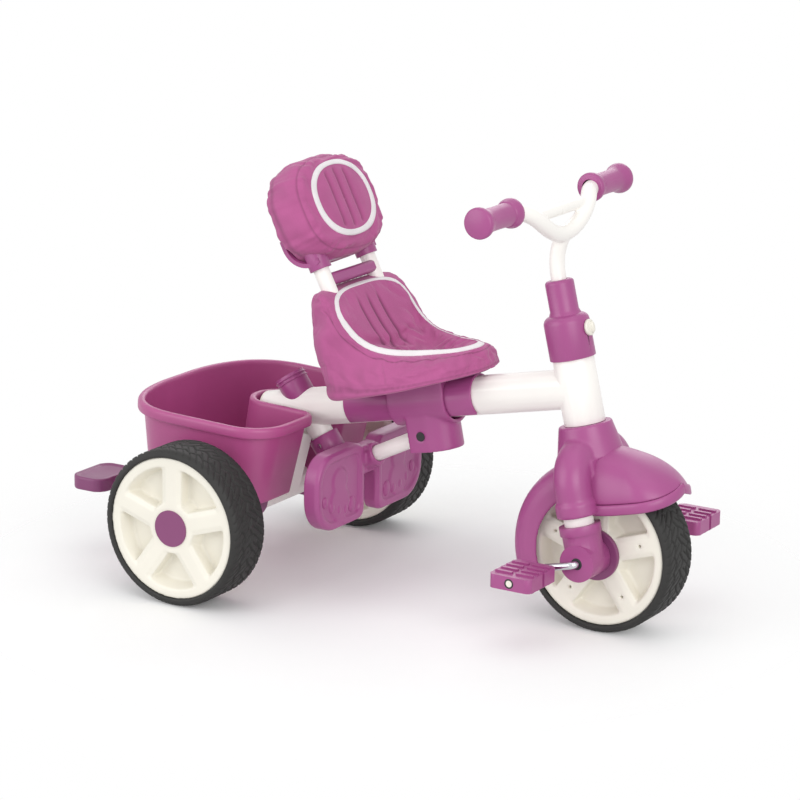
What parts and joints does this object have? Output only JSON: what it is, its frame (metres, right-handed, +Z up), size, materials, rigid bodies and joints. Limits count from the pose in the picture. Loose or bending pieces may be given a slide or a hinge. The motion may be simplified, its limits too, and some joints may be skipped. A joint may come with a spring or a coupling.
{
  "type": "toddler push-along trike",
  "caption": "Toddler trike with padded seat and headrest, rear bucket, steered front wheel with cranked pedals, fold-away footrest and a socket for a push handle.",
  "frame": {"origin": "on the ground, under the middle of the whole trike", "axes": "+X forward, +Y to the rider's left, +Z up"},
  "size_m": [0.9024, 0.52, 0.5951],
  "materials": {
    "magenta_plastic": "moulded polypropylene",
    "dark_magenta_plastic": "moulded polypropylene",
    "magenta_fabric": "woven nylon over padding, white tape",
    "white_paint": "powder coat",
    "white_plastic": "blow-moulded plastic",
    "black_plastic": "moulded",
    "black_steel": "black oxide",
    "chrome": "plated rod",
    "tyre": "moulded tread"
  },
  "bodies": {
    "frame": {"main_frame": "white_paint", "tube_end_cap": "white_paint", "push_socket_upper": "magenta_plastic", "push_socket_lower": "magenta_plastic", "rear_frame": "white_paint", "frame_bolts": "black_steel", "rear_axle": "chrome", "axle_spacers": "white_paint", "axle_nuts": "chrome", "bucket": "magenta_plastic", "seat_rail": "magenta_plastic", "head_bush_upper": "black_plastic", "head_bush_lower": "black_plastic", "headset_cover": "magenta_plastic"},
    "lock_knob": {"lock_knob": "white_plastic"},
    "steering": {"steerer_tube": "chrome", "handlebar": "white_paint", "grip_right": "magenta_plastic", "grip_left": "magenta_plastic", "fork_crown": "magenta_plastic", "fender_front": "magenta_plastic", "fender_rear": "magenta_plastic", "fork_leg_right": "white_paint", "fork_leg_left": "white_paint", "fork_end_right": "magenta_plastic", "fork_end_left": "magenta_plastic", "axle_bushes": "black_plastic"},
    "front_wheel": {"front_wheel": "white_plastic", "front_tyre": "tyre", "hub_flange_right": "dark_magenta_plastic", "hub_flange_left": "dark_magenta_plastic", "crank": "chrome"},
    "pedal_right": {"pedal_right": "magenta_plastic", "pedal_cap_right": "white_plastic"},
    "pedal_left": {"pedal_left": "magenta_plastic", "pedal_cap_left": "white_plastic"},
    "rear_wheel_right": {"rear_wheel_right": "white_plastic", "rear_tyre_right": "tyre", "hub_cap_right": "magenta_plastic"},
    "rear_wheel_left": {"rear_wheel_left": "white_plastic", "rear_tyre_left": "tyre", "hub_cap_left": "magenta_plastic"},
    "seat": {"seat_bracket": "magenta_plastic", "seat_shell": "dark_magenta_plastic", "seat_cover": "magenta_fabric", "footrest_pin": "black_steel"},
    "headrest": {"headrest_posts": "white_paint", "post_tie": "magenta_plastic", "headrest_shell": "magenta_plastic", "headrest_pad": "magenta_fabric"},
    "footrest": {"footrest_bar": "white_paint", "footrest_plates": "magenta_plastic"},
    "brake_right": {"brake_pedal_right": "magenta_plastic"},
    "brake_left": {"brake_pedal_left": "magenta_plastic"}
  },
  "joints": [
    {"name": "steering", "type": "hinge", "parent": "frame", "child": "steering", "pos_m": [0.338, 0, 0.11], "axis": [-0.2334, 0, 0.9724], "range_deg": [-30, 30]},
    {"name": "steering_lock", "type": "hinge", "parent": "frame", "child": "lock_knob", "pos_m": [0.29834, 0, 0.40797], "axis": [0.9724, 0, 0.2334], "range_deg": [0, 90]},
    {"name": "front_wheel", "type": "hinge", "parent": "steering", "child": "front_wheel", "pos_m": [0.338, 0, 0.11], "axis": [0, 1, 0], "continuous": true},
    {"name": "pedal_right", "type": "hinge", "parent": "front_wheel", "child": "pedal_right", "pos_m": [0.28646, 0, 0.09763], "axis": [0, 1, 0], "continuous": true},
    {"name": "pedal_left", "type": "hinge", "parent": "front_wheel", "child": "pedal_left", "pos_m": [0.38954, 0, 0.12237], "axis": [0, 1, 0], "continuous": true},
    {"name": "rear_wheel_right", "type": "hinge", "parent": "frame", "child": "rear_wheel_right", "pos_m": [-0.197, 0, 0.11], "axis": [0, 1, 0], "continuous": true},
    {"name": "rear_wheel_left", "type": "hinge", "parent": "frame", "child": "rear_wheel_left", "pos_m": [-0.197, 0, 0.11], "axis": [0, 1, 0], "continuous": true},
    {"name": "seat_slide", "type": "slide", "parent": "frame", "child": "seat", "axis": [0.9789, 0, 0.2045], "range_m": [-0.025, 0.02]},
    {"name": "headrest_height", "type": "slide", "parent": "seat", "child": "headrest", "axis": [-0.454, 0, 0.891], "range_m": [0, 0.06]},
    {"name": "footrest_fold", "type": "hinge", "parent": "seat", "child": "footrest", "pos_m": [0.06058, 0, 0.22766], "axis": [0, -1, 0], "range_deg": [0, 65]},
    {"name": "brake_right", "type": "hinge", "parent": "frame", "child": "brake_right", "pos_m": [-0.197, 0, 0.11], "axis": [0, -1, 0], "range_deg": [0, 8]},
    {"name": "brake_left", "type": "hinge", "parent": "frame", "child": "brake_left", "pos_m": [-0.197, 0, 0.11], "axis": [0, -1, 0], "range_deg": [0, 8]}
  ]
}
